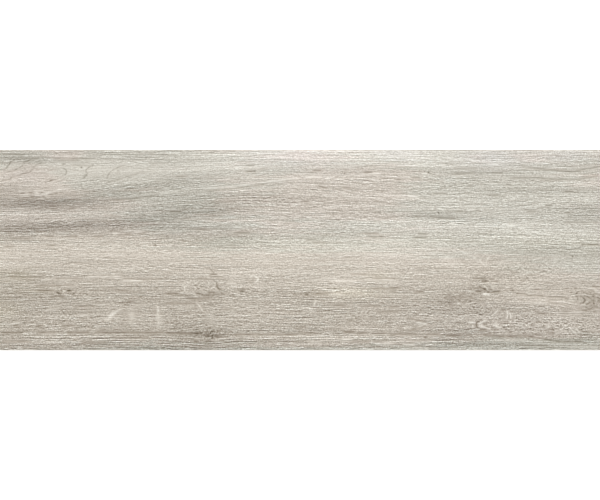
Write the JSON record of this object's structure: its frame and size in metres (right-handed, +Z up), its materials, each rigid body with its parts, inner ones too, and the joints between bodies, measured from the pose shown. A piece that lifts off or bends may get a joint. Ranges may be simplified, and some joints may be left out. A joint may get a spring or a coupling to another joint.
{
  "type": "wood look porcelain plank tile",
  "caption": "Flat rectangular porcelain floor and wall tile with a matte, finely embossed limed wood grain face, straight ground edges and a ribbed back for adhesive.",
  "frame": {"origin": "centre of the bedding plane, which is the plane of the back ribs' crests", "axes": "+X along the plank's length, +Y across its width, +Z up through the grained wear face"},
  "size_m": [0.9, 0.3, 0.01],
  "materials": {
    "porcelain": "matte"
  },
  "bodies": {
    "root": {"plank_tile": "porcelain"}
  },
  "joints": []
}
